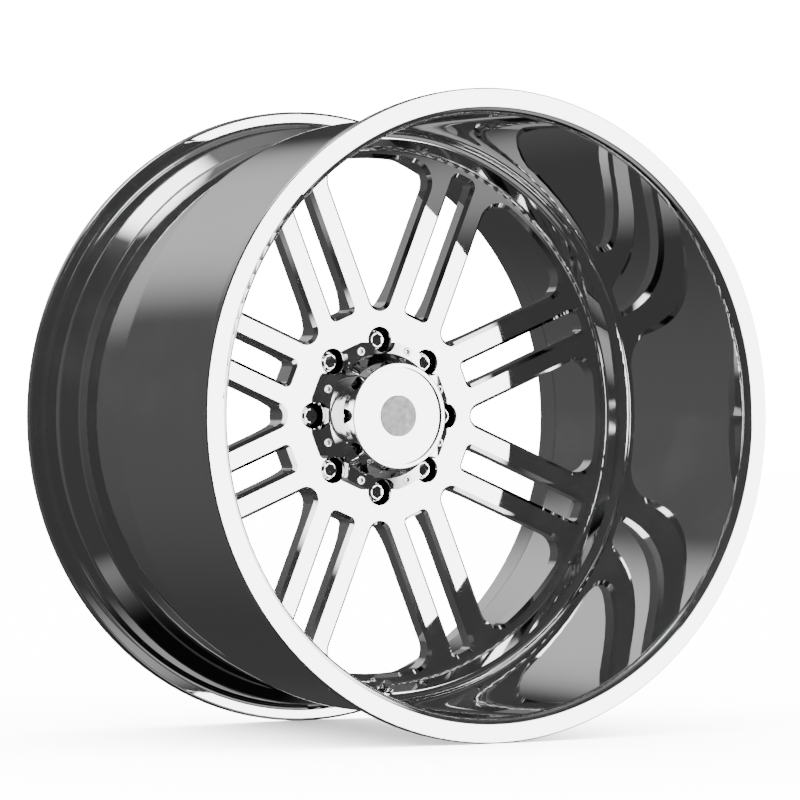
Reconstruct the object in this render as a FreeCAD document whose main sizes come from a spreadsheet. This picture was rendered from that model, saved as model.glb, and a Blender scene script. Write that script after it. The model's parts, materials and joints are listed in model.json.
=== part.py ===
import math
import os
import re

import FreeCAD
import Part
import Sketcher

# Two-piece forged deep-lip truck wheel, 26 x 16 inch, 8 studs on a 170 mm circle.
# Millimetres. The wheel axis is Y, the front (outboard) side faces -Y and +Z is up.
# The origin is the centre of the hub mounting pad. The tyre valve is at the bottom, -Z.

os.makedirs("parts", exist_ok=True)
doc = FreeCAD.newDocument("deep_lip_wheel")
sheet = doc.addObject("Spreadsheet::Sheet", "Sizes")

SIZES = [
    # rim barrel, depths measured from the front lip plane, the face plane or the rear edge
    ("lip_r", 350.0, "outer radius of both tyre flanges"),
    ("rim_width", 430.7, "front lip plane to rear edge"),
    ("flange_t", 12.0, "thickness of each tyre flange"),
    ("flange_edge", 3.0, "rounding of the flange edges"),
    ("bead_r", 332.6, "tyre bead seat radius at the flange"),
    ("bead_w", 20.0, "width of each bead seat"),
    ("bead_drop", 1.75, "fall of the bead seat over its width, 5 degrees"),
    ("bead_root", 6.0, "fillet between bead seat and flange"),
    ("hump_w", 3.0, "step from the bead seat to the well"),
    ("well_front_r", 328.7, "outside radius of the deep front section"),
    ("crease_fwd", 7.8, "the well starts to fall this far in front of the face"),
    ("crease_round", 60.0, "soft rounding where the well starts to fall"),
    ("well_low_r", 315.7, "outside radius at the bottom of the drop well"),
    ("well_low_back", 64.3, "drop well bottom to the rear edge"),
    ("well_rise_r", 329.7, "outside radius where the steep rear cone ends"),
    ("well_rise_back", 44.0, "end of the steep rear cone to the rear edge"),
    ("mouth_r", 325.0, "inside radius of the rear mouth"),
    ("mouth_w", 9.0, "depth of the flared rear mouth"),
    ("rear_in_r", 319.5, "inside radius under the rear bead seat"),
    ("rear_in_back", 41.0, "front end of that section to the rear edge"),
    ("low_in_r", 304.5, "inside radius under the drop well"),
    ("low_in_back", 66.7, "that place to the rear edge"),
    ("skirt_r", 297.5, "inside radius of the thick ring behind the centre"),
    ("skirt_len", 21.0, "length of the thick ring behind the centre"),
    ("skirt_top_r", 296.0, "inside radius of the shoulder that carries the centre"),
    ("wall_front_r", 322.7, "inside radius of the lip wall at the front"),
    ("wall_back_r", 317.0, "inside radius of the lip wall at the centre"),
    ("lip_round", 8.8, "rounding from the lip wall to the front band"),
    # forged centre
    ("lip_depth", 249.8, "front lip plane to the face plane"),
    ("hub_t", 66.6, "mounting pad to the face plane"),
    ("leg_t", 21.0, "thickness of the spoke legs"),
    ("hub_r", 104.0, "radius of the hub boss"),
    ("flare_r", 60.0, "radius of the hollow curve from legs to boss"),
    ("flare_start_r", 156.0, "radius where that curve leaves the legs"),
    ("bore_r", 62.55, "hub pilot bore radius"),
    ("bore_edge", 2.0, "chamfer at the pad end of the pilot bore"),
    ("face_end_r", 299.6, "radius of the flat face"),
    ("face_round", 4.0, "hollow fillet at the edge of the flat face"),
    ("ramp_mid_r", 301.2, "radius where the ramp turns steep"),
    ("ramp_mid_fwd", 6.0, "that turn in front of the face"),
    ("ramp_top_r", 308.0, "radius of the crease at the top of the ramp"),
    ("ramp_top_fwd", 17.8, "crease in front of the face"),
    ("cove_r", 10.0, "radius of the hollow from the ramp up to the lip wall"),
    ("spokes", 8.0, "number of twin spokes and of studs"),
    ("edge_cut", 4.0, "45 degree chamfer on every window and slot"),
    ("spoke_half", 35.35, "half width of a twin spoke across its flat face"),
    ("window_out_r", 292.6, "outer edge of the windows on the face"),
    ("window_tip", 15.2, "rounding of the window tip on the face"),
    ("window_corner", 27.0, "rounding of the outer window corners on the face"),
    ("slot_half", 16.8, "half width of the slot on the face"),
    ("slot_in", 117.5, "inner end of the slot from the axis"),
    ("slot_out", 292.7, "outer end of the slot from the axis"),
    ("slot_in_corner", 7.5, "rounding of the inner slot corners on the face"),
    ("slot_out_corner", 10.0, "rounding of the outer slot corners on the face"),
    # studs and nuts
    ("stud_circle_r", 85.0, "radius of the stud circle"),
    ("well_hole_r", 14.15, "radius of the nut well"),
    ("well_edge", 0.8, "chamfer at the mouth of the nut well"),
    ("stud_hole_r", 7.75, "radius of the stud clearance hole"),
    ("stud_land", 14.5, "length of the stud clearance hole"),
    ("nut_r", 10.75, "outer radius of the nut"),
    ("nut_end_r", 8.2, "small end radius of the nut cone"),
    ("nut_sunk", 5.75, "nut top below the face"),
    ("nut_thread_r", 7.0, "radius of the nut thread, drawn plain"),
    ("nut_thread_len", 30.0, "depth of the nut thread"),
    ("nut_edge", 2.9, "chamfer of the nut top"),
    ("nut_key", 12.85, "hexagon socket across flats"),
    ("nut_key_deep", 12.5, "depth of the hexagon socket"),
    ("nut_groove_r", 1.6, "radius of the grooves along the nut"),
    ("nut_groove_cut", 0.55, "depth of the grooves along the nut"),
    ("nut_grooves", 8.0, "number of grooves along the nut"),
    ("seat_gap", 0.05, "gap between nut cone and seat"),
    # hub cap, heights measured forward from the face plane
    ("cap_base_t", 11.0, "thickness of the cap flange"),
    ("cap_flat", 82.0, "axis to the flats that face the studs"),
    ("cap_lobe", 83.3, "axis to the flats that face the screws"),
    ("cap_notch_gap", 1.0, "cap notch clearance around the nut well"),
    ("cap_rim_r", 92.0, "radius just outside the corners of the cap flange"),
    ("cap_rim_t", 7.7, "thickness of the sloping flange at that radius"),
    ("cap_foot_r", 70.2, "radius of the bell foot on the flange"),
    ("cap_neck_r", 61.3, "radius of the crease between the two tiers"),
    ("cap_neck_up", 25.6, "height of that crease"),
    ("cap_top_r", 59.0, "radius of the bell top"),
    ("cap_top_up", 43.8, "height of the bell top"),
    ("cap_top_round", 1.2, "rounding of the bell top edge"),
    ("cap_in_r", 57.3, "inside radius of the flange and lower tier"),
    ("cap_in_up", 24.0, "height of the straight inner wall"),
    ("cap_under_r", 54.0, "inside radius under the lid shelf"),
    ("shelf_r", 45.0, "inside radius of the lid shelf"),
    ("shelf_t", 5.0, "thickness of the lid shelf"),
    ("lid_seat_r", 54.3, "radius of the lid seat"),
    ("lid_seat_up", 37.2, "height of the lid seat"),
    ("seal_in_r", 64.0, "inner radius of the base seal groove"),
    ("seal_out_r", 68.0, "outer radius of the base seal groove"),
    ("seal_deep", 2.6, "depth of the base seal groove"),
    ("seal_side", 0.3, "side clearance of the seals in their grooves"),
    ("seal_round", 0.9, "rounding of the seal sections"),
    ("cap_screw_circle", 77.5, "radius of the cap screw circle"),
    ("cap_screw_r", 3.0, "cap screw thread radius, drawn plain"),
    ("cap_screw_hole_r", 3.3, "cap screw clearance hole radius"),
    ("cap_head_r", 4.75, "cap screw head radius"),
    ("cap_head_t", 4.2, "cap screw head height"),
    ("cap_sink_r", 5.0, "counterbore radius for the cap screw"),
    ("cap_sink", 4.8, "counterbore depth for the cap screw"),
    ("cap_screw_in", 13.0, "cap screw thread length in the centre"),
    ("cap_tap_in", 16.0, "depth of the tapped hole in the centre"),
    ("cap_screw_key", 5.0, "cap screw hexagon socket across flats"),
    ("cap_key_deep", 2.6, "depth of the cap screw socket"),
    ("thread_gap", 0.05, "radial gap between plain drawn threads"),
    ("lid_gap", 0.3, "gap around the lid"),
    ("lid_t", 4.0, "thickness of the lid"),
    ("lid_edge", 0.5, "chamfer of the lid"),
    ("lid_seal_in", 51.2, "inner radius of the lid seal groove"),
    ("lid_seal_out", 53.2, "outer radius of the lid seal groove"),
    ("lid_seal_deep", 1.4, "depth of the lid seal groove"),
    ("lid_seal_round", 0.4, "rounding of the lid seal section"),
    ("lid_screws", 4.0, "number of lid screws"),
    ("lid_screw_circle", 48.2, "radius of the lid screw circle"),
    ("lid_screw_r", 2.0, "lid screw thread radius, drawn plain"),
    ("lid_screw_hole_r", 2.2, "lid screw clearance hole radius"),
    ("lid_screw_len", 7.6, "lid screw length under the head"),
    ("lid_tap_in", 3.0, "depth of the tapped hole in the lid"),
    ("lid_head_r", 3.2, "lid screw head radius"),
    ("lid_head_t", 2.4, "lid screw head height"),
    ("lid_screw_key", 2.5, "lid screw hexagon socket across flats"),
    ("lid_key_deep", 1.4, "depth of the lid screw socket"),
    ("badge_r", 23.0, "radius of the badge recess"),
    ("badge_gap", 0.3, "gap around the badge"),
    ("badge_in", 0.9, "depth of the badge recess"),
    ("badge_t", 1.5, "thickness of the badge"),
    ("badge_edge", 0.4, "chamfer of the badge"),
    # tyre valve, lengths measured along its own axis from the inner spot face
    ("valve_tilt", 45.0, "valve axis leans this many degrees to the front"),
    ("valve_at_r", 304.0, "valve axis crosses the ramp at this radius"),
    ("valve_at_fwd", 11.4, "and this far in front of the face"),
    ("valve_sunk", 2.6, "inner spot face below that point"),
    ("valve_spot_r", 10.2, "radius of the inner spot face"),
    ("valve_wall", 22.0, "distance between the two spot faces"),
    ("valve_well_r", 9.4, "radius of the outer spot face"),
    ("valve_hole_r", 5.7, "radius of the valve hole"),
    ("shank_r", 5.3, "radius of the valve shank"),
    ("valve_thread_r", 5.0, "radius of the nut thread on the stem"),
    ("valve_head_r", 8.2, "radius of the valve foot"),
    ("valve_head_t", 3.0, "thickness of the valve foot"),
    ("grommet_r", 8.4, "outer radius of the grommet"),
    ("grommet_t", 2.6, "thickness of the grommet"),
    ("grommet_in", 0.15, "gap between grommet and shank"),
    ("washer_r", 8.4, "outer radius of the valve washer"),
    ("washer_t", 1.2, "thickness of the valve washer"),
    ("washer_gap", 0.3, "gap between washer and stem"),
    ("valve_nut_key", 14.0, "valve nut across flats"),
    ("valve_nut_t", 4.6, "height of the valve nut"),
    ("neck_r", 3.86, "radius of the cap thread on the stem"),
    ("neck_from", 6.2, "start of the neck above the spot face"),
    ("neck_to", 11.2, "tip of the stem above the spot face"),
    ("air_r", 1.9, "radius of the air passage"),
    ("chamber_r", 2.6, "radius of the core chamber"),
    ("chamber_from", -6.0, "floor of the core chamber"),
    ("core_gap", 0.06, "radial running gap inside the core"),
    ("sleeve_out_r", 1.6, "outer radius of the core sleeve"),
    ("sleeve_in_r", 1.15, "inner radius of the core sleeve"),
    ("sleeve_from", -5.4, "lower end of the core sleeve"),
    ("sleeve_floor", 2.4, "thickness of the sleeve floor"),
    ("plug_from", 4.0, "lower end of the threaded plug"),
    ("plug_to", 9.0, "upper end of the threaded plug"),
    ("core_ring_t", 1.8, "height of the core seal"),
    ("core_ring_up", 0.2, "core seal above the chamber floor"),
    ("core_ring_gap", 0.1, "gap between the core seal and its neighbours"),
    ("pin_r", 0.5, "radius of the core pin"),
    ("pin_to", 10.7, "tip of the core pin"),
    ("pin_from", -9.0, "lower end of the core pin"),
    ("pin_collar_from", 5.6, "underside of the pin collar"),
    ("pin_collar_t", 0.8, "thickness of the pin collar"),
    ("cup_r", 1.5, "radius of the poppet cup"),
    ("cup_t", 1.2, "thickness of the poppet cup"),
    ("poppet_t", 0.9, "thickness of the poppet washer"),
    ("poppet_gap", 0.05, "gap under the sleeve with the valve shut"),
    ("core_spring_r", 0.82, "mean radius of the core spring"),
    ("core_wire_r", 0.12, "radius of the spring wire"),
    ("core_spring_to", 3.9, "upper end of the core spring"),
    ("core_turns", 8.0, "number of spring turns"),
    ("dust_r", 5.2, "outer radius of the dust cap"),
    ("dust_from", 6.7, "open end of the dust cap"),
    ("dust_to", 13.0, "closed end of the dust cap"),
    ("dust_roof", 1.1, "thickness of the dust cap roof"),
    ("dust_edge", 0.8, "rounding of the dust cap"),
    ("dust_gap", 0.06, "radial gap between dust cap and neck"),
    ("dust_ribs", 12.0, "number of grip grooves on the dust cap"),
    ("dust_rib_r", 0.6, "radius of the grip grooves"),
    ("dust_seal_t", 0.6, "thickness of the dust cap seal"),
    ("dust_seal_in", 1.6, "inner radius of the dust cap seal"),
]

for row, (alias, value, meaning) in enumerate(SIZES, start=1):
    sheet.set(f"A{row}", meaning)
    sheet.set(f"B{row}", str(value))
    sheet.setAlias(f"B{row}", alias)
doc.recompute()
scratch = doc.addObject("Spreadsheet::Sheet", "Scratch")
WORDS = {"sin", "cos", "tan", "asin", "sqrt", "deg"}

# heights of the main planes along the wheel axis, used by several pieces
FACE = "-hub_t"
FRONT = "-(hub_t + lip_depth)"
REAR = "(rim_width - hub_t - lip_depth)"
LEG_BACK = "(leg_t - hub_t)"


def bound(text):
    """The expression with every size name pointing at the sheet."""
    def named(match):
        word = match.group(0)
        return word if word in WORDS else f"Sizes.{word}"

    return re.sub(r"[a-z_]+[a-z_0-9]*", named, text)


def number(text):
    """The present value of an expression of sheet sizes."""
    scratch.set("A1", "=" + bound(text))
    scratch.recompute()
    return float(scratch.get("A1"))


def origin_item(body, role):
    return [item for item in body.Origin.OriginFeatures if item.Role == role][0]


def new_body(label):
    body = doc.addObject("PartDesign::Body", label)
    body.Label = label
    return body


def new_sketch(body, role, name, shift="0", turn="0"):
    """A sketch on one of the body's own planes, shifted along its normal and turned."""
    sketch = body.newObject("Sketcher::SketchObject", name)
    sketch.AttachmentSupport = [(origin_item(body, role), "")]
    sketch.MapMode = "FlatFace"
    if turn != "0":
        axis = FreeCAD.Vector(0, 0, 1)
        sketch.AttachmentOffset = FreeCAD.Placement(
            FreeCAD.Vector(0, 0, number(shift)), FreeCAD.Rotation(axis, number(turn))
        )
        sketch.setExpression("AttachmentOffset.Rotation.Angle", bound(turn))
    if shift != "0":
        sketch.setExpression("AttachmentOffset.Base.z", bound(shift))
    return sketch


def pin_point(sketch, geo, pos, x, y):
    """Hold one sketch point at two sheet expressions."""
    for kind, text in (("DistanceX", x), ("DistanceY", y)):
        index = sketch.addConstraint(Sketcher.Constraint(kind, geo, pos, number(text)))
        if re.search("[a-z]", text):
            sketch.setExpression(f"Constraints[{index}]", bound(text))


def outline(sketch, points, arcs=None):
    """Closed outline through points; arcs maps a side to (centre x, centre y, bulge)."""
    arcs = arcs or {}
    spots = [FreeCAD.Vector(number(x), number(y), 0) for x, y in points]
    count = len(spots)
    centres = []
    for i, start in enumerate(spots):
        end = spots[(i + 1) % count]
        if i in arcs:
            cx, cy, bulge = arcs[i]
            centre = FreeCAD.Vector(number(cx), number(cy), 0)
            first = math.atan2(start.y - centre.y, start.x - centre.x)
            last = math.atan2(end.y - centre.y, end.x - centre.x)
            middle = math.atan2(bulge[1], bulge[0])
            flipped = (middle - first) % math.tau > (last - first) % math.tau
            if flipped:
                first, last = last, first
            ring = Part.Circle(centre, FreeCAD.Vector(0, 0, 1), (start - centre).Length)
            geo = sketch.addGeometry(Part.ArcOfCircle(ring, first, last), False)
            centres.append((geo, cx, flipped))
        else:
            geo = sketch.addGeometry(Part.LineSegment(start, end), False)
            centres.append((geo, None, False))
    for i, (geo, cx, flipped) in enumerate(centres):
        after, _, next_flipped = centres[(i + 1) % count]
        sketch.addConstraint(
            Sketcher.Constraint(
                "Coincident", geo, 1 if flipped else 2, after, 2 if next_flipped else 1
            )
        )
        pin_point(sketch, geo, 2 if flipped else 1, *points[i])
        if cx is not None:
            index = sketch.addConstraint(
                Sketcher.Constraint("DistanceX", geo, 3, number(cx))
            )
            if re.search("[a-z]", cx):
                sketch.setExpression(f"Constraints[{index}]", bound(cx))
    return sketch


def circle(sketch, x, y, radius):
    spot = FreeCAD.Vector(number(x), number(y), 0)
    geo = sketch.addGeometry(
        Part.Circle(spot, FreeCAD.Vector(0, 0, 1), number(radius)), False
    )
    pin_point(sketch, geo, 3, x, y)
    index = sketch.addConstraint(Sketcher.Constraint("Radius", geo, number(radius)))
    sketch.setExpression(f"Constraints[{index}]", bound(radius))
    return sketch


def hexagon(sketch, x, y, across, first="0"):
    """Regular hexagon with its first corner at the given angle."""
    points = []
    for k in range(6):
        angle = f"({first} + {60 * k})"
        reach = f"({across}) / (2 * cos(30))"
        points.append((f"{x} + {reach} * cos{angle}", f"{y} + {reach} * sin{angle}"))
    return outline(sketch, points)


def axis_line(sketch, x):
    """Construction line parallel to the sketch's y axis, to turn a profile about."""
    geo = sketch.addGeometry(
        Part.LineSegment(FreeCAD.Vector(number(x), 0, 0), FreeCAD.Vector(number(x), 10, 0)),
        True,
    )
    pin_point(sketch, geo, 1, x, "0")
    pin_point(sketch, geo, 2, x, "10")


def revolve(body, name, points, arcs=None, about=None, cut=False):
    """Profile of (radius, height) turned about the body's Y axis or a parallel line."""
    sketch = new_sketch(body, "XY_Plane", name + "_profile")
    outline(sketch, points, arcs)
    kind = "PartDesign::Groove" if cut else "PartDesign::Revolution"
    feature = body.newObject(kind, name)
    feature.Profile = sketch
    if about is None:
        feature.ReferenceAxis = (sketch, ["V_Axis"])
    else:
        axis_line(sketch, about)
        feature.ReferenceAxis = (sketch, ["Axis0"])
    feature.Angle = 360
    finish(body, feature, cut)
    return feature


def finish(body, feature, cut=False):
    """Recompute and make sure that a cut really took material away."""
    before = VOLUMES.get(body.Name, 0)
    body.Tip = feature
    doc.recompute()
    after = feature.Shape.Volume
    if cut and after > before - 1e-3:
        raise ValueError(f"{feature.Label} cuts nothing")
    VOLUMES[body.Name] = after


VOLUMES = {}


def pocket(body, sketch, name, length=None, through=False):
    """Cut along the sketch's own pocket direction, or both ways right through."""
    feature = body.newObject("PartDesign::Pocket", name)
    feature.Profile = sketch
    if through:
        feature.Type = "ThroughAll"
        feature.Midplane = True
    else:
        feature.setExpression("Length", bound(length))
    finish(body, feature, cut=True)
    return feature


def pad(body, sketch, name, length):
    feature = body.newObject("PartDesign::Pad", name)
    feature.Profile = sketch
    feature.setExpression("Length", bound(length))
    finish(body, feature)
    return feature


def around(body, originals, name, count):
    """Repeat features evenly about the body's Y axis."""
    feature = body.newObject("PartDesign::PolarPattern", name)
    feature.Originals = originals
    feature.Axis = (origin_item(body, "Y_Axis"), [""])
    feature.Angle = 360
    feature.setExpression("Occurrences", bound(count))
    finish(body, feature)
    return feature


def ring_edges(body, spots):
    """Names of the round edges about the Y axis at the given (radius, height) spots."""
    wanted = [(number(r), number(y)) for r, y in spots]
    names = []
    for i, edge in enumerate(body.Tip.Shape.Edges, start=1):
        curve = edge.Curve
        if not isinstance(curve, Part.Circle) or abs(curve.Axis.y) < 0.999:
            continue
        centre = curve.Center
        if math.hypot(centre.x, centre.z) > 0.01:
            continue
        for radius, height in wanted:
            if abs(curve.Radius - radius) < 0.02 and abs(centre.y - height) < 0.02:
                names.append(f"Edge{i}")
    return names


def upright_edges(body, reach):
    """Names of the straight edges along Y at one distance from the wheel axis."""
    names = []
    for i, edge in enumerate(body.Tip.Shape.Edges, start=1):
        if not isinstance(edge.Curve, Part.Line) or abs(edge.Curve.Direction.y) < 0.999:
            continue
        spot = edge.Vertexes[0].Point
        if abs(math.hypot(spot.x, spot.z) - number(reach)) < 0.02:
            names.append(f"Edge{i}")
    return names


def dress(body, name, kind, names, size):
    """Fillet or chamfer the named edges."""
    if not names:
        raise ValueError(f"{name} finds no edges")
    base = body.Tip
    feature = body.newObject(f"PartDesign::{kind}", name)
    feature.Base = (base, names)
    feature.setExpression("Radius" if kind == "Fillet" else "Size", bound(size))
    finish(body, feature)
    return feature


def put(thing, x="0", y="0", z="0", lean="0"):
    """Place a piece in the wheel, leaning about X."""
    thing.Placement = FreeCAD.Placement(
        FreeCAD.Vector(number(x), number(y), number(z)),
        FreeCAD.Rotation(FreeCAD.Vector(1, 0, 0), number(lean)),
    )
    for key, text in (("x", x), ("y", y), ("z", z)):
        if re.search("[a-z]", text):
            thing.setExpression(f"Placement.Base.{key}", bound(text))
    if re.search("[a-z]", lean):
        thing.setExpression("Placement.Rotation.Angle", bound(lean))


HALF_STEP = "(180 / spokes)"

# ---------------------------------------------------------------- rim barrel
COVE_WIDE = "(wall_back_r - seat_gap - ramp_top_r)"
COVE_FWD = f"(ramp_top_fwd + cove_r - sqrt(cove_r ^ 2 - {COVE_WIDE} ^ 2))"
barrel = new_body("rim_barrel")
# the soft crease where the straight front section turns into the falling well
CREASE_AT = f"({FACE} - crease_fwd)"
FALL = f"({REAR} - well_low_back - {CREASE_AT})"
DROP = "(well_front_r - well_low_r)"
SLANT = f"sqrt({DROP} ^ 2 + {FALL} ^ 2)"
CREASE_HALF = f"(crease_round * ({SLANT} - {FALL}) / {DROP})"
revolve(
    barrel,
    "barrel_wall",
    [
        ("wall_front_r", FRONT),
        ("lip_r", FRONT),
        ("lip_r", f"{FRONT} + flange_t"),
        ("bead_r", f"{FRONT} + flange_t"),
        ("bead_r - bead_drop", f"{FRONT} + flange_t + bead_w"),
        ("well_front_r", f"{FRONT} + flange_t + bead_w + hump_w"),
        ("well_front_r", f"{CREASE_AT} - {CREASE_HALF}"),
        (
            f"well_front_r - {CREASE_HALF} * {DROP} / {SLANT}",
            f"{CREASE_AT} + {CREASE_HALF} * {FALL} / {SLANT}",
        ),
        ("well_low_r", f"{REAR} - well_low_back"),
        ("well_rise_r", f"{REAR} - well_rise_back"),
        ("bead_r - bead_drop", f"{REAR} - flange_t - bead_w"),
        ("bead_r", f"{REAR} - flange_t"),
        ("lip_r", f"{REAR} - flange_t"),
        ("lip_r", REAR),
        ("mouth_r", REAR),
        ("rear_in_r", f"{REAR} - mouth_w"),
        ("rear_in_r", f"{REAR} - rear_in_back"),
        ("low_in_r", f"{REAR} - low_in_back"),
        ("skirt_r", f"{LEG_BACK} + skirt_len"),
        ("skirt_top_r", LEG_BACK),
        ("wall_back_r", LEG_BACK),
        ("wall_back_r", f"{FACE} - {COVE_FWD}"),
    ],
    arcs={6: ("well_front_r - crease_round", f"{CREASE_AT} - {CREASE_HALF}", (1.0, 0.01))},
)
dress(barrel, "lip_rounding", "Fillet", ring_edges(barrel, [("wall_front_r", FRONT)]), "lip_round")
dress(
    barrel,
    "flange_edges",
    "Fillet",
    ring_edges(
        barrel,
        [
            ("lip_r", f"{FRONT} + flange_t"),
            ("lip_r", f"{REAR} - flange_t"),
            ("lip_r", REAR),
            ("mouth_r", REAR),
        ],
    ),
    "flange_edge",
)
dress(
    barrel,
    "front_edge",
    "Fillet",
    ring_edges(barrel, [("lip_r", FRONT)]),
    "flange_edge / 2",
)
dress(
    barrel,
    "bead_roots",
    "Fillet",
    ring_edges(
        barrel,
        [("bead_r", f"{FRONT} + flange_t"), ("bead_r", f"{REAR} - flange_t")],
    ),
    "bead_root",
)
dress(
    barrel,
    "well_corners",
    "Fillet",
    ring_edges(
        barrel,
        [
            ("well_low_r", f"{REAR} - well_low_back"),
            ("well_rise_r", f"{REAR} - well_rise_back"),
            ("low_in_r", f"{REAR} - low_in_back"),
            ("rear_in_r", f"{REAR} - rear_in_back"),
        ],
    ),
    "bead_root",
)

# ---------------------------------------------------------------- valve position
# a point on the valve axis, so many millimetres out along it from the ramp
VALVE_Y = f"({FACE} - valve_at_fwd + valve_sunk * sin(valve_tilt))"
VALVE_Z = "(-valve_at_r - valve_sunk * cos(valve_tilt))"


def valve_cutter(label, radius, start, end):
    """A round cutter on the valve axis between two heights above the spot face."""
    cutter = doc.addObject("Part::Cylinder", label)
    cutter.setExpression("Radius", bound(radius))
    cutter.setExpression("Height", bound(f"{end} - ({start})"))
    slide = f"({start})"
    put(
        cutter,
        y=f"{VALVE_Y} - {slide} * sin(valve_tilt)",
        z=f"{VALVE_Z} + {slide} * cos(valve_tilt)",
        lean="valve_tilt",
    )
    return cutter


def drill(label, blank, cutters):
    """The finished piece: the blank less the cutters, under the piece's own name."""
    blank.Label = label + "_blank"
    tools = doc.addObject("Part::MultiFuse", label + "_cutters")
    tools.Shapes = cutters
    piece = doc.addObject("Part::Cut", label + "_drilled")
    piece.Base = blank
    piece.Tool = tools
    piece.Label = label
    doc.recompute()
    if piece.Shape.Volume > blank.Shape.Volume - 1:
        raise ValueError(f"{label} is not drilled")
    return piece


barrel_piece = drill(
    "rim_barrel",
    barrel,
    [
        valve_cutter("valve_hole_barrel", "valve_hole_r", "-valve_wall - 20", "0"),
        valve_cutter("valve_well_barrel", "valve_well_r", "-valve_wall - 30", "-valve_wall"),
    ],
)

# ---------------------------------------------------------------- forged centre
centre = new_body("forged_centre")
FLARE_Y = "(leg_t - hub_t + flare_r)"
FLARE_END = f"{FLARE_Y} - sqrt(flare_r ^ 2 - (flare_start_r - hub_r) ^ 2)"
revolve(
    centre,
    "centre_disc",
    [
        ("bore_r", FACE),
        ("face_end_r", FACE),
        ("ramp_mid_r", f"{FACE} - ramp_mid_fwd"),
        ("ramp_top_r", f"{FACE} - ramp_top_fwd"),
        ("wall_back_r - seat_gap", f"{FACE} - {COVE_FWD}"),
        ("wall_back_r - seat_gap", LEG_BACK),
        ("flare_start_r", LEG_BACK),
        ("hub_r", FLARE_END),
        ("hub_r", "0"),
        ("bore_r", "0"),
    ],
    arcs={
        3: ("ramp_top_r", f"{FACE} - ramp_top_fwd - cove_r", (0.5, 1.0)),
        6: ("flare_start_r", FLARE_Y, (-0.5, -1.0)),
    },
)
dress(centre, "face_fillet", "Fillet", ring_edges(centre, [("face_end_r", FACE)]), "face_round")

# windows between the twin spokes, each centred on a stud
WALL_HALF = "(spoke_half + edge_cut)"
TIP = "(window_tip - edge_cut)"
TIP_X = f"(({WALL_HALF} + {TIP}) / sin{HALF_STEP})"
OUT = "(window_out_r - edge_cut)"
OUT_ANGLE = f"({HALF_STEP} - asin({WALL_HALF} / {OUT}) / 1 deg)"
window = new_sketch(centre, "XZ_Plane", "window_shape")
outline(
    window,
    [
        (f"{TIP_X} - {TIP} * sin{HALF_STEP}", f"{TIP} * cos{HALF_STEP}"),
        (f"{TIP_X} - {TIP} * sin{HALF_STEP}", f"-{TIP} * cos{HALF_STEP}"),
        (f"{OUT} * cos{OUT_ANGLE}", f"-{OUT} * sin{OUT_ANGLE}"),
        (f"{OUT} * cos{OUT_ANGLE}", f"{OUT} * sin{OUT_ANGLE}"),
    ],
    arcs={0: (TIP_X, "0", (-1.0, 0.0)), 2: ("0", "0", (1.0, 0.0))},
)
window_cut = pocket(centre, window, "window", through=True)
around(centre, [window_cut], "windows", "spokes")

# slot along the middle of each twin spoke
SLOT_HALF = "(slot_half - edge_cut)"
slot = new_sketch(centre, "XZ_Plane", "slot_shape", turn=HALF_STEP)
outline(
    slot,
    [
        ("slot_in + edge_cut", f"-{SLOT_HALF}"),
        ("slot_out - edge_cut", f"-{SLOT_HALF}"),
        ("slot_out - edge_cut", SLOT_HALF),
        ("slot_in + edge_cut", SLOT_HALF),
    ],
)
slot_cut = pocket(centre, slot, "slot", through=True)
around(centre, [slot_cut], "slots", "spokes")

dress(
    centre, "window_corners", "Fillet", upright_edges(centre, OUT), "window_corner - edge_cut"
)
dress(
    centre,
    "slot_outer_corners",
    "Fillet",
    upright_edges(centre, f"sqrt((slot_out - edge_cut) ^ 2 + {SLOT_HALF} ^ 2)"),
    "slot_out_corner - edge_cut",
)
dress(
    centre,
    "slot_inner_corners",
    "Fillet",
    upright_edges(centre, f"sqrt((slot_in + edge_cut) ^ 2 + {SLOT_HALF} ^ 2)"),
    "slot_in_corner - edge_cut",
)
face_at = number(FACE)
rim_edge = number("bore_r")
face_edges = []
for i, edge in enumerate(centre.Tip.Shape.Edges, start=1):
    spots = [edge.valueAt(edge.FirstParameter), edge.valueAt(edge.LastParameter)]
    reach = min(math.hypot(spot.x, spot.z) for spot in spots)
    on_face = all(abs(spot.y - face_at) < 0.001 for spot in spots)
    if on_face and rim_edge + 5 < reach < number("window_out_r"):
        face_edges.append(f"Edge{i}")
dress(centre, "edge_chamfers", "Chamfer", face_edges, "edge_cut")

# nut wells with their 60 degree seats
CONE_TOP = "(stud_land + (well_hole_r - stud_hole_r) / tan(30))"
well = revolve(
    centre,
    "nut_well",
    [
        ("stud_circle_r", "-hub_t - 1"),
        ("stud_circle_r + well_hole_r + well_edge + 1", "-hub_t - 1"),
        ("stud_circle_r + well_hole_r", "-hub_t + well_edge"),
        ("stud_circle_r + well_hole_r", f"-{CONE_TOP}"),
        ("stud_circle_r + stud_hole_r", "-stud_land"),
        ("stud_circle_r + stud_hole_r", "1"),
        ("stud_circle_r", "1"),
    ],
    about="stud_circle_r",
    cut=True,
)
around(centre, [well], "nut_wells", "spokes")

tap = new_sketch(centre, "XZ_Plane", "tap_shape", shift="hub_t", turn=HALF_STEP)
circle(tap, "cap_screw_circle", "0", "cap_screw_r + thread_gap")
tap_cut = pocket(centre, tap, "tapped_hole", "cap_tap_in")
around(centre, [tap_cut], "tapped_holes", "spokes")
dress(centre, "bore_chamfer", "Chamfer", ring_edges(centre, [("bore_r", "0")]), "bore_edge")

centre_piece = drill(
    "forged_centre",
    centre,
    [
        valve_cutter("valve_hole_centre", "valve_hole_r", "-valve_wall - 20", "0"),
        valve_cutter("valve_spot_centre", "valve_spot_r", "0", "40"),
        valve_cutter("valve_well_centre", "valve_well_r", "-valve_wall - 30", "-valve_wall"),
    ],
)

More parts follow.
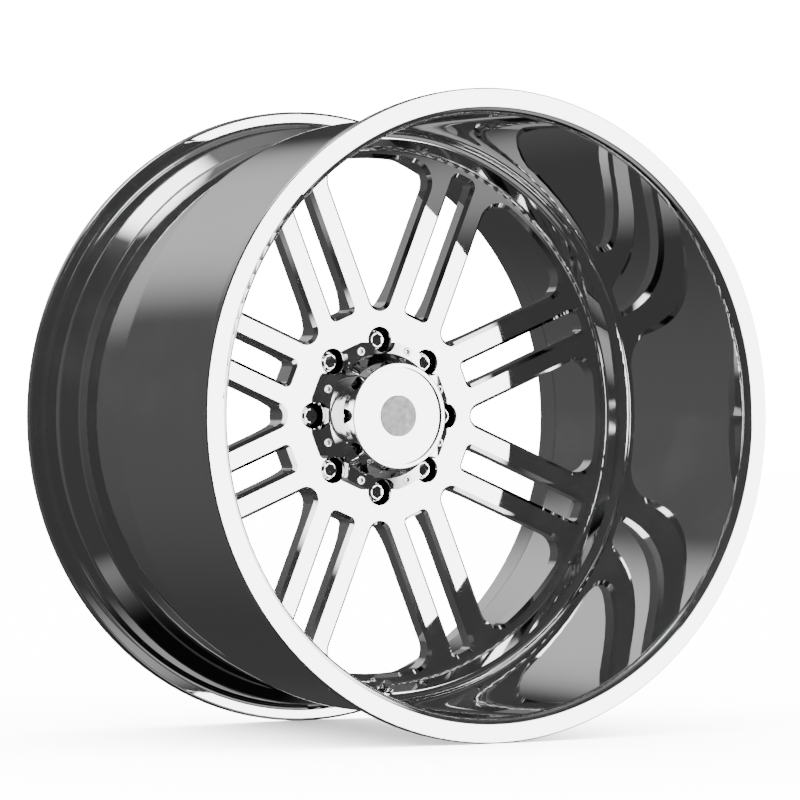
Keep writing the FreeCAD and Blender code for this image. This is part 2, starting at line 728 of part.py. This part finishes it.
# ---------------------------------------------------------------- lug nuts
nuts = new_body("lug_nuts")
nuts.AllowCompound = True
NUT_TOP = "(nut_sunk - hub_t)"
SEAT_AT = "(stud_land + (nut_r - stud_hole_r) / tan(30) + seat_gap / sin(30))"
NUT_END = f"({SEAT_AT} - (nut_r - nut_end_r) / tan(30))"
nut = revolve(
    nuts,
    "nut",
    [
        ("stud_circle_r", NUT_TOP),
        ("stud_circle_r + nut_r - nut_edge", NUT_TOP),
        ("stud_circle_r + nut_r", f"{NUT_TOP} + nut_edge"),
        ("stud_circle_r + nut_r", f"-{SEAT_AT}"),
        ("stud_circle_r + nut_end_r", f"-{NUT_END}"),
        ("stud_circle_r + nut_thread_r", f"-{NUT_END}"),
        ("stud_circle_r + nut_thread_r", f"-{NUT_END} - nut_thread_len"),
        ("stud_circle_r", f"-{NUT_END} - nut_thread_len - 1"),
    ],
    about="stud_circle_r",
)
key = new_sketch(nuts, "XZ_Plane", "nut_key_shape", shift="hub_t - nut_sunk")
hexagon(key, "stud_circle_r", "0", "nut_key")
key_cut = pocket(nuts, key, "nut_socket", "nut_key_deep")
grooves = new_sketch(nuts, "XZ_Plane", "nut_groove_shape", shift="hub_t - nut_sunk")
groove_count = int(round(number("nut_grooves")))
for k in range(groove_count):
    reach = "(nut_r + nut_groove_r - nut_groove_cut)"
    angle = f"({k} * 360 / nut_grooves + 180 / nut_grooves)"
    circle(
        grooves,
        f"stud_circle_r + {reach} * cos{angle}",
        f"{reach} * sin{angle}",
        "nut_groove_r",
    )
groove_cut = pocket(nuts, grooves, "nut_flutes", f"hub_t - nut_sunk - {SEAT_AT} - 6")
around(nuts, [nut, key_cut, groove_cut], "nut_set", "spokes")

# ---------------------------------------------------------------- hub cap
bell = new_body("cap_bell")
CORNER_X = "cap_flat"
CORNER_Y = f"(cap_lobe - cap_flat * cos{HALF_STEP}) / sin{HALF_STEP}"
base = new_sketch(bell, "XZ_Plane", "base_shape")
corners = []
for k in range(int(round(number("spokes")))):
    turn = f"({k} * 2 * {HALF_STEP})"
    for side in ("-", ""):
        cx, cy = CORNER_X, f"{side}({CORNER_Y})"
        corners.append(
            (f"{cx} * cos{turn} - {cy} * sin{turn}", f"{cx} * sin{turn} + {cy} * cos{turn}")
        )
outline(base, corners)
pad(bell, base, "flange", "cap_base_t")
revolve(
    bell,
    "bell_wall",
    [
        ("0", "0"),
        ("cap_in_r + 2", "0"),
        ("cap_foot_r", "-cap_base_t"),
        ("cap_neck_r", "-cap_neck_up"),
        ("cap_top_r", "-cap_top_up"),
        ("0", "-cap_top_up"),
    ],
)
revolve(
    bell,
    "flange_slope",
    [
        ("cap_foot_r", "-cap_base_t"),
        ("cap_rim_r", "-cap_rim_t"),
        ("cap_rim_r", "-cap_base_t - 1"),
        ("cap_foot_r", "-cap_base_t - 1"),
    ],
    cut=True,
)
notch = new_sketch(bell, "XZ_Plane", "notch_shape")
circle(notch, "stud_circle_r", "0", "well_hole_r + cap_notch_gap")
notch_cut = bell.newObject("PartDesign::Pocket", "notch")
notch_cut.Profile = notch
notch_cut.Reversed = True
notch_cut.setExpression("Length", bound("cap_base_t"))
finish(bell, notch_cut, cut=True)
around(bell, [notch_cut], "notches", "spokes")
dress(
    bell,
    "top_rounding",
    "Fillet",
    ring_edges(bell, [("cap_top_r", "-cap_top_up")]),
    "cap_top_round",
)
revolve(
    bell,
    "bell_inside",
    [
        ("0", "1"),
        ("cap_in_r", "1"),
        ("cap_in_r", "-cap_in_up"),
        ("cap_under_r", "shelf_t - lid_seat_up"),
        ("shelf_r", "shelf_t - lid_seat_up"),
        ("shelf_r", "-lid_seat_up"),
        ("lid_seat_r", "-lid_seat_up"),
        ("lid_seat_r", "-cap_top_up - 1"),
        ("0", "-cap_top_up - 1"),
    ],
    cut=True,
)
revolve(
    bell,
    "base_seal_groove",
    [
        ("seal_in_r", "1"),
        ("seal_out_r", "1"),
        ("seal_out_r", "-seal_deep"),
        ("seal_in_r", "-seal_deep"),
    ],
    cut=True,
)
revolve(
    bell,
    "lid_seal_groove",
    [
        ("lid_seal_in", "-lid_seat_up - 1"),
        ("lid_seal_out", "-lid_seat_up - 1"),
        ("lid_seal_out", "lid_seal_deep - lid_seat_up"),
        ("lid_seal_in", "lid_seal_deep - lid_seat_up"),
    ],
    cut=True,
)
screw_hole = new_sketch(bell, "XZ_Plane", "screw_hole_shape", turn=HALF_STEP)
circle(screw_hole, "cap_screw_circle", "0", "cap_screw_hole_r")
screw_hole_cut = pocket(bell, screw_hole, "screw_hole", through=True)
sink = new_sketch(bell, "XZ_Plane", "sink_shape", shift="cap_base_t", turn=HALF_STEP)
circle(sink, "cap_screw_circle", "0", "cap_sink_r")
sink_cut = pocket(bell, sink, "screw_sink", "cap_sink")
around(bell, [screw_hole_cut, sink_cut], "screw_holes", "spokes")
lid_hole = new_sketch(bell, "XZ_Plane", "lid_hole_shape", shift="lid_seat_up")
circle(lid_hole, "0", "lid_screw_circle", "lid_screw_hole_r")
lid_hole_cut = pocket(bell, lid_hole, "lid_screw_hole", "shelf_t")
around(bell, [lid_hole_cut], "lid_screw_holes", "lid_screws")
put(bell, y=FACE)


def seal_ring(label, inner, outer, low, high, rounding):
    """Seal of rounded section between two radii, heights forward of the face."""
    ring = new_body(label)
    revolve(
        ring,
        label + "_section",
        [
            (f"{inner} + seal_side", f"-({low})"),
            (f"{outer} - seal_side", f"-({low})"),
            (f"{outer} - seal_side", f"-({high})"),
            (f"{inner} + seal_side", f"-({high})"),
        ],
    )
    spots = [
        (f"{radius} {sign} seal_side", f"-({height})")
        for radius, sign in ((inner, "+"), (outer, "-"))
        for height in (low, high)
    ]
    dress(ring, label + "_corners", "Fillet", ring_edges(ring, spots), rounding)
    put(ring, y=FACE)
    return ring


base_seal = seal_ring("cap_base_seal", "seal_in_r", "seal_out_r", "0", "seal_deep", "seal_round")
lid_seal = seal_ring(
    "cap_lid_seal",
    "lid_seal_in",
    "lid_seal_out",
    "lid_seat_up - lid_seal_deep",
    "lid_seat_up",
    "lid_seal_round",
)

screws = new_body("cap_screws")
screws.AllowCompound = True
HEAD_UNDER = "(cap_base_t - cap_sink)"
screw = revolve(
    screws,
    "screw",
    [
        ("cap_screw_circle", f"-{HEAD_UNDER} - cap_head_t"),
        ("cap_screw_circle + cap_head_r - 0.4", f"-{HEAD_UNDER} - cap_head_t"),
        ("cap_screw_circle + cap_head_r", f"-{HEAD_UNDER} - cap_head_t + 0.4"),
        ("cap_screw_circle + cap_head_r", f"-{HEAD_UNDER}"),
        ("cap_screw_circle + cap_screw_r", f"-{HEAD_UNDER}"),
        ("cap_screw_circle + cap_screw_r", "cap_screw_in"),
        ("cap_screw_circle", "cap_screw_in"),
    ],
    about="cap_screw_circle",
)
screw_key = new_sketch(
    screws, "XZ_Plane", "screw_key_shape", shift=f"{HEAD_UNDER} + cap_head_t"
)
hexagon(screw_key, "cap_screw_circle", "0", "cap_screw_key")
screw_key_cut = pocket(screws, screw_key, "screw_socket", "cap_key_deep")
around(screws, [screw, screw_key_cut], "screw_set", "spokes")
put(screws, y=FACE)
screws.Placement = FreeCAD.Placement(
    screws.Placement.Base, FreeCAD.Rotation(FreeCAD.Vector(0, 1, 0), number(HALF_STEP))
)
screws.setExpression("Placement.Rotation.Angle", bound(HALF_STEP))

lid = new_body("cap_lid")
revolve(
    lid,
    "lid_disc",
    [
        ("0", "-lid_seat_up"),
        ("lid_seat_r - lid_gap", "-lid_seat_up"),
        ("lid_seat_r - lid_gap", "-lid_seat_up - lid_t"),
        ("badge_r", "-lid_seat_up - lid_t"),
        ("badge_r", "badge_in - lid_seat_up - lid_t"),
        ("0", "badge_in - lid_seat_up - lid_t"),
    ],
)
dress(
    lid,
    "lid_chamfer",
    "Chamfer",
    ring_edges(lid, [("lid_seat_r - lid_gap", "-lid_seat_up - lid_t")]),
    "lid_edge",
)
lid_tap = new_sketch(lid, "XZ_Plane", "lid_tap_shape", shift="lid_seat_up")
circle(lid_tap, "0", "lid_screw_circle", "lid_screw_r + thread_gap")
lid_tap_cut = lid.newObject("PartDesign::Pocket", "lid_tap")
lid_tap_cut.Profile = lid_tap
lid_tap_cut.Reversed = True
lid_tap_cut.setExpression("Length", bound("lid_tap_in"))
finish(lid, lid_tap_cut, cut=True)
around(lid, [lid_tap_cut], "lid_taps", "lid_screws")
put(lid, y=FACE)

badge = new_body("cap_badge")
revolve(
    badge,
    "badge_disc",
    [
        ("0", "badge_in - lid_seat_up - lid_t"),
        ("badge_r - badge_gap", "badge_in - lid_seat_up - lid_t"),
        ("badge_r - badge_gap", "badge_in - lid_seat_up - lid_t - badge_t"),
        ("0", "badge_in - lid_seat_up - lid_t - badge_t"),
    ],
)
dress(
    badge,
    "badge_chamfer",
    "Chamfer",
    ring_edges(badge, [("badge_r - badge_gap", "badge_in - lid_seat_up - lid_t - badge_t")]),
    "badge_edge",
)
put(badge, y=FACE)

lid_bolts = new_body("cap_lid_screws")
lid_bolts.AllowCompound = True
SHELF_UNDER = "(lid_seat_up - shelf_t)"
lid_bolt = revolve(
    lid_bolts,
    "lid_screw",
    [
        ("lid_screw_circle", f"lid_head_t - {SHELF_UNDER}"),
        ("lid_screw_circle + lid_head_r", f"lid_head_t - {SHELF_UNDER}"),
        ("lid_screw_circle + lid_head_r", f"-{SHELF_UNDER}"),
        ("lid_screw_circle + lid_screw_r", f"-{SHELF_UNDER}"),
        ("lid_screw_circle + lid_screw_r", f"-{SHELF_UNDER} - lid_screw_len"),
        ("lid_screw_circle", f"-{SHELF_UNDER} - lid_screw_len"),
    ],
    about="lid_screw_circle",
)
lid_key = new_sketch(
    lid_bolts, "XZ_Plane", "lid_key_shape", shift=f"{SHELF_UNDER} - lid_head_t"
)
hexagon(lid_key, "lid_screw_circle", "0", "lid_screw_key")
lid_key_cut = lid_bolts.newObject("PartDesign::Pocket", "lid_screw_socket")
lid_key_cut.Profile = lid_key
lid_key_cut.Reversed = True
lid_key_cut.setExpression("Length", bound("lid_key_deep"))
finish(lid_bolts, lid_key_cut, cut=True)
around(lid_bolts, [lid_bolt, lid_key_cut], "lid_screw_set", "lid_screws")
put(lid_bolts, y=FACE)
lid_bolts.Placement = FreeCAD.Placement(
    lid_bolts.Placement.Base, FreeCAD.Rotation(FreeCAD.Vector(0, 1, 0), 90)
)


# ---------------------------------------------------------------- tyre valve
def turned(label, points):
    """Piece of (radius, height) outline turned about the valve axis."""
    piece = new_body(label)
    sketch = new_sketch(piece, "XZ_Plane", label + "_profile")
    outline(sketch, points)
    feature = piece.newObject("PartDesign::Revolution", label + "_turned")
    feature.Profile = sketch
    feature.ReferenceAxis = (sketch, ["V_Axis"])
    feature.Angle = 360
    finish(piece, feature)
    put(piece, y=VALVE_Y, z=VALVE_Z, lean="valve_tilt")
    return piece


def tube(label, inner, outer, low, high):
    return turned(label, [(inner, low), (outer, low), (outer, high), (inner, high)])


FOOT_TOP = "(-valve_wall - grommet_t)"
stem = turned(
    "valve_stem",
    [
        ("air_r", f"{FOOT_TOP} - valve_head_t"),
        ("valve_head_r - 1", f"{FOOT_TOP} - valve_head_t"),
        ("valve_head_r", f"{FOOT_TOP} - valve_head_t + 1"),
        ("valve_head_r", FOOT_TOP),
        ("shank_r", FOOT_TOP),
        ("shank_r", "-1"),
        ("valve_thread_r", "-0.5"),
        ("valve_thread_r", "neck_from - 0.8"),
        ("neck_r", "neck_from"),
        ("neck_r", "neck_to - 0.5"),
        ("neck_r - 0.4", "neck_to"),
        ("chamber_r", "neck_to"),
        ("chamber_r", "chamber_from + 0.5"),
        ("air_r", "chamber_from"),
    ],
)
grommet = tube(
    "valve_grommet", "shank_r + grommet_in", "grommet_r", FOOT_TOP, "-valve_wall"
)
washer = tube("valve_washer", "valve_thread_r + washer_gap", "washer_r", "0", "washer_t")
valve_nut = new_body("valve_nut")
nut_shape = new_sketch(valve_nut, "XY_Plane", "valve_nut_shape", shift="washer_t")
hexagon(nut_shape, "0", "0", "valve_nut_key", "0")
pad(valve_nut, nut_shape, "valve_nut_block", "valve_nut_t")
nut_bore = new_sketch(valve_nut, "XY_Plane", "valve_nut_bore_shape")
circle(nut_bore, "0", "0", "valve_thread_r + thread_gap")
pocket(valve_nut, nut_bore, "valve_nut_bore", through=True)
put(valve_nut, y=VALVE_Y, z=VALVE_Z, lean="valve_tilt")

plug = turned(
    "valve_core_plug",
    [
        ("pin_r + core_gap", "sleeve_from"),
        ("sleeve_out_r", "sleeve_from"),
        ("sleeve_out_r", "plug_from"),
        ("chamber_r - thread_gap", "plug_from + 0.6"),
        ("chamber_r - thread_gap", "plug_to"),
        ("sleeve_in_r", "plug_to"),
        ("sleeve_in_r", "sleeve_from + sleeve_floor"),
        ("pin_r + core_gap", "sleeve_from + sleeve_floor"),
    ],
)
core_ring = tube(
    "valve_core_seal",
    "sleeve_out_r + core_ring_gap",
    "chamber_r - core_ring_gap",
    "chamber_from + 0.5 + core_ring_up",
    "chamber_from + 0.5 + core_ring_up + core_ring_t",
)
CUP_TOP = "(sleeve_from - poppet_gap - poppet_t)"
pin = turned(
    "valve_core_pin",
    [
        ("0", "pin_from"),
        ("cup_r", "pin_from"),
        ("cup_r", CUP_TOP),
        ("pin_r", CUP_TOP),
        ("pin_r", "pin_collar_from"),
        ("sleeve_in_r - core_gap", "pin_collar_from"),
        ("sleeve_in_r - core_gap", "pin_collar_from + pin_collar_t"),
        ("pin_r", "pin_collar_from + pin_collar_t"),
        ("pin_r", "pin_to"),
        ("0", "pin_to"),
    ],
)
poppet = tube(
    "valve_core_washer",
    "pin_r + core_gap",
    "cup_r",
    CUP_TOP,
    "sleeve_from - poppet_gap",
)

spring_from = number("sleeve_from + sleeve_floor + core_wire_r + 0.05")
spring_to = number("core_spring_to - core_wire_r")
spring_pitch = (spring_to - spring_from) / number("core_turns")
coil = Part.makeHelix(spring_pitch, spring_to - spring_from, number("core_spring_r"))
coil.translate(FreeCAD.Vector(0, 0, spring_from))
wire_start = FreeCAD.Vector(number("core_spring_r"), 0, spring_from)
wire_end = Part.Wire(
    Part.makeCircle(number("core_wire_r"), wire_start, FreeCAD.Vector(0, 1, 0))
)
spring = doc.addObject("Part::Feature", "valve_core_spring")
spring.Label = "valve_core_spring"
spring.Shape = Part.Wire(coil).makePipeShell([wire_end], True, True)
put(spring, y=VALVE_Y, z=VALVE_Z, lean="valve_tilt")

dust = turned(
    "valve_cap",
    [
        ("0", "dust_to"),
        ("dust_r - dust_edge", "dust_to"),
        ("dust_r", "dust_to - dust_edge"),
        ("dust_r", "dust_from"),
        ("neck_r + dust_gap", "dust_from"),
        ("neck_r + dust_gap", "dust_to - dust_roof"),
        ("0", "dust_to - dust_roof"),
    ],
)
ribs = new_sketch(dust, "XY_Plane", "grip_shape", shift="dust_to")
for k in range(int(round(number("dust_ribs")))):
    angle = f"({k} * 360 / dust_ribs)"
    reach = "(dust_r + dust_rib_r / 2)"
    circle(ribs, f"{reach} * cos{angle}", f"{reach} * sin{angle}", "dust_rib_r")
pocket(dust, ribs, "grip", "dust_to - dust_from + 1")
dust_seal = tube(
    "valve_cap_seal",
    "dust_seal_in",
    "neck_r - 0.2",
    "dust_to - dust_roof - dust_seal_t - 0.02",
    "dust_to - dust_roof - 0.02",
)

# ---------------------------------------------------------------- checks and export
doc.recompute()
PIECES = [
    barrel_piece,
    centre_piece,
    nuts,
    bell,
    base_seal,
    screws,
    lid,
    lid_seal,
    lid_bolts,
    badge,
    stem,
    grommet,
    washer,
    valve_nut,
    plug,
    core_ring,
    pin,
    poppet,
    spring,
    dust,
    dust_seal,
]
for item in doc.Objects:
    if "Invalid" in item.State or "Error" in item.State:
        raise ValueError(f"{item.Label} is {item.State}")
for piece in PIECES:
    shape = piece.Shape
    if shape.isNull() or not shape.isValid() or not shape.Solids:
        raise ValueError(f"{piece.Label} has no valid solid")
    shape.exportStep(f"parts/{piece.Label}.step")
    print(piece.Label, len(shape.Solids), round(shape.Volume, 1))
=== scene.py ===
import json
import math

import bpy
from mathutils import Matrix, Vector

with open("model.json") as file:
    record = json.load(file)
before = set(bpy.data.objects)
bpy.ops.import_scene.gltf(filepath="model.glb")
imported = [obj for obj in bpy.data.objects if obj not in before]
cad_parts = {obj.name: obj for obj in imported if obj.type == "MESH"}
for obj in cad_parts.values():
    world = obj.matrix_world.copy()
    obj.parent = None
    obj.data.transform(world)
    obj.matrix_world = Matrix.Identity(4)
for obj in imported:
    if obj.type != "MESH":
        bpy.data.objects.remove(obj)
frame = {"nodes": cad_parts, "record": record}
nodes = frame["nodes"]


# ------------------------------------------------------------------ materials
NOISE_DETAIL = 6.0
NOISE_LOW, NOISE_HIGH = 0.35, 0.65
RELIEF_DEPTH = 0.0002


def new_material(name):
    material = bpy.data.materials.new(name)
    material.use_nodes = True
    tree = material.node_tree
    shader = tree.nodes["Principled BSDF"]
    return material, tree, shader


def wear(tree, shader, scale, low, high, bump=0.0):
    """Fine uneven polish: noise drives the roughness, and a little relief if asked."""
    coords = tree.nodes.new("ShaderNodeTexCoord")
    noise = tree.nodes.new("ShaderNodeTexNoise")
    noise.inputs["Scale"].default_value = scale
    noise.inputs["Detail"].default_value = NOISE_DETAIL
    spread = tree.nodes.new("ShaderNodeMapRange")
    spread.inputs["From Min"].default_value = NOISE_LOW
    spread.inputs["From Max"].default_value = NOISE_HIGH
    spread.inputs["To Min"].default_value = low
    spread.inputs["To Max"].default_value = high
    tree.links.new(coords.outputs["Object"], noise.inputs["Vector"])
    tree.links.new(noise.outputs["Fac"], spread.inputs["Value"])
    tree.links.new(spread.outputs["Result"], shader.inputs["Roughness"])
    if bump:
        relief = tree.nodes.new("ShaderNodeBump")
        relief.inputs["Strength"].default_value = bump
        relief.inputs["Distance"].default_value = RELIEF_DEPTH
        tree.links.new(noise.outputs["Fac"], relief.inputs["Height"])
        tree.links.new(relief.outputs["Normal"], shader.inputs["Normal"])


def metal(name, color, scale, low, high):
    """Bare metal: wear scale, then lowest and highest roughness."""
    material, tree, shader = new_material(name)
    shader.inputs["Base Color"].default_value = (*color, 1.0)
    shader.inputs["Metallic"].default_value = 1.0
    wear(tree, shader, scale, low, high)
    return material


def dull(name, color, scale, low, high, bump=0.3):
    """Rubber or plastic: as metal, with a slight grain."""
    material, tree, shader = new_material(name)
    shader.inputs["Base Color"].default_value = (*color, 1.0)
    wear(tree, shader, scale, low, high, bump)
    return material


LOOKS = {
    "polished_alloy": metal("polished_alloy", (0.9, 0.9, 0.905), 18.0, 0.012, 0.035),
    "chrome_steel": metal("chrome_steel", (0.82, 0.82, 0.83), 60.0, 0.02, 0.05),
    "steel_screw": metal("steel_screw", (0.62, 0.62, 0.64), 400.0, 0.18, 0.35),
    "seal_rubber": dull("seal_rubber", (0.02, 0.02, 0.02), 900.0, 0.55, 0.8),
    "valve_brass": metal("valve_brass", (0.78, 0.58, 0.28), 500.0, 0.18, 0.32),
    "core_seal_plastic": dull("core_seal_plastic", (0.6, 0.08, 0.05), 900.0, 0.35, 0.5),
    "badge_metal": metal("badge_metal", (0.18, 0.18, 0.185), 120.0, 0.25, 0.4),
}
for part in frame["record"]["subparts"]:
    piece = nodes[part["node"]]
    piece.data.materials.clear()
    piece.data.materials.append(LOOKS[part["material_slot"]])

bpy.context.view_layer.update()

# ------------------------------------------------------------------ studio floor
FLOOR_Z = -0.350  # the wheel stands on its two flanges, 0.350 m in radius
FLOOR_SIZE = 40
FLOOR_PAINT = (0.95, 0.95, 0.95, 1)
FLOOR_ROUGHNESS = 0.9

bpy.ops.mesh.primitive_plane_add(size=FLOOR_SIZE, location=(0, 0, FLOOR_Z))
floor = bpy.context.object
floor.name = "studio_floor"
paint, _, paint_shader = new_material("floor_paint")
paint_shader.inputs["Base Color"].default_value = FLOOR_PAINT
paint_shader.inputs["Roughness"].default_value = FLOOR_ROUGHNESS
floor.data.materials.append(paint)
floor.visible_glossy = False

# ------------------------------------------------------------------ studio light
BASE_LIGHT = 0.062  # what the metal reflects away from every patch
DIMMEST = 0.004
PLAIN_LIGHT = 22.0  # even light on everything that isn't a reflection
UNLIT_BELOW, LIT_ABOVE = -0.92, -0.7  # height of the direction, -1 straight down
LEAST_SHARE = 0.03  # share of the light left straight below
PATCHES = [
    # azimuth, elevation, inner angle, outer angle, level
    (38, 1, 11, 18, 9.0),
    (76, 8, 20, 32, 5.0),
    (-122, 68, 10, 20, 6.0),
    (180, 32, 4, 26, 0.7),
    (-92, -55, 4, 14, 0.25),
    (-150, 5, 5, 45, 0.05),
    (120, -30, 5, 40, 0.09),
    (20, -45, 5, 30, 0.5),
    (0, 90, 10, 45, 0.2),
]

world = bpy.data.worlds.new("studio")
bpy.context.scene.world = world
world.use_nodes = True
sky = world.node_tree
sky.nodes.clear()


def link(source, target):
    sky.links.new(source, target)


def math_node(kind, first, second):
    node = sky.nodes.new("ShaderNodeMath")
    node.operation = kind
    for socket, value in zip(node.inputs, (first, second)):
        if isinstance(value, (int, float)):
            socket.default_value = value
        else:
            link(value, socket)
    return node.outputs["Value"]


def heading(azimuth, elevation):
    """Unit vector: azimuth 0 is the front (-Y), 90 the right (+X), 180 the back."""
    a, e = math.radians(azimuth), math.radians(elevation)
    return (math.sin(a) * math.cos(e), -math.cos(a) * math.cos(e), math.sin(e))


coords = sky.nodes.new("ShaderNodeTexCoord").outputs["Generated"]


def blob(azimuth, elevation, inner, outer, level):
    """Soft round patch of light: full inside the inner angle, gone at the outer."""
    dot = sky.nodes.new("ShaderNodeVectorMath")
    dot.operation = "DOT_PRODUCT"
    link(coords, dot.inputs[0])
    dot.inputs[1].default_value = heading(azimuth, elevation)
    ramp = sky.nodes.new("ShaderNodeMapRange")
    ramp.interpolation_type = "SMOOTHSTEP"
    ramp.inputs["From Min"].default_value = math.cos(math.radians(outer))
    ramp.inputs["From Max"].default_value = math.cos(math.radians(inner))
    ramp.inputs["To Min"].default_value = 0.0
    ramp.inputs["To Max"].default_value = level
    link(dot.outputs["Value"], ramp.inputs["Value"])
    return ramp.outputs["Result"]


total = BASE_LIGHT
for patch in PATCHES:
    total = math_node("ADD", total, blob(*patch))
height = sky.nodes.new("ShaderNodeSeparateXYZ")
link(coords, height.inputs[0])
dark = sky.nodes.new("ShaderNodeMapRange")
dark.interpolation_type = "SMOOTHSTEP"
dark.inputs["From Min"].default_value = UNLIT_BELOW
dark.inputs["From Max"].default_value = LIT_ABOVE
dark.inputs["To Min"].default_value = LEAST_SHARE
dark.inputs["To Max"].default_value = 1.0
link(height.outputs["Z"], dark.inputs["Value"])
total = math_node("MULTIPLY", total, dark.outputs["Result"])
total = math_node("MAXIMUM", total, DIMMEST)
studio = sky.nodes.new("ShaderNodeBackground")
link(total, studio.inputs["Strength"])
plain = sky.nodes.new("ShaderNodeBackground")
plain.inputs["Strength"].default_value = PLAIN_LIGHT
seen = sky.nodes.new("ShaderNodeLightPath")
mix = sky.nodes.new("ShaderNodeMixShader")
link(seen.outputs["Is Glossy Ray"], mix.inputs["Fac"])
link(plain.outputs[0], mix.inputs[1])
link(studio.outputs[0], mix.inputs[2])
out = sky.nodes.new("ShaderNodeOutputWorld")
link(mix.outputs[0], out.inputs["Surface"])

# ------------------------------------------------------------------ camera
PLACE = (-2.43465, -4.28782, -0.00826)
LENS = 196.395
SENSOR = 36.0
AZIMUTH = math.radians(-30.24)
ELEVATION = math.radians(-0.306)
back = Vector(
    (
        math.sin(AZIMUTH) * math.cos(ELEVATION),
        -math.cos(AZIMUTH) * math.cos(ELEVATION),
        math.sin(ELEVATION),
    )
)
right = Vector((math.cos(AZIMUTH), math.sin(AZIMUTH), 0))
up = back.cross(right)
camera_data = bpy.data.cameras.new("camera")
camera_data.lens = LENS
camera_data.sensor_width = SENSOR
camera = bpy.data.objects.new("camera", camera_data)
bpy.context.scene.collection.objects.link(camera)
turn = Matrix((right, up, back)).transposed().to_4x4()
camera.matrix_world = Matrix.Translation(PLACE) @ turn
bpy.context.scene.camera = camera
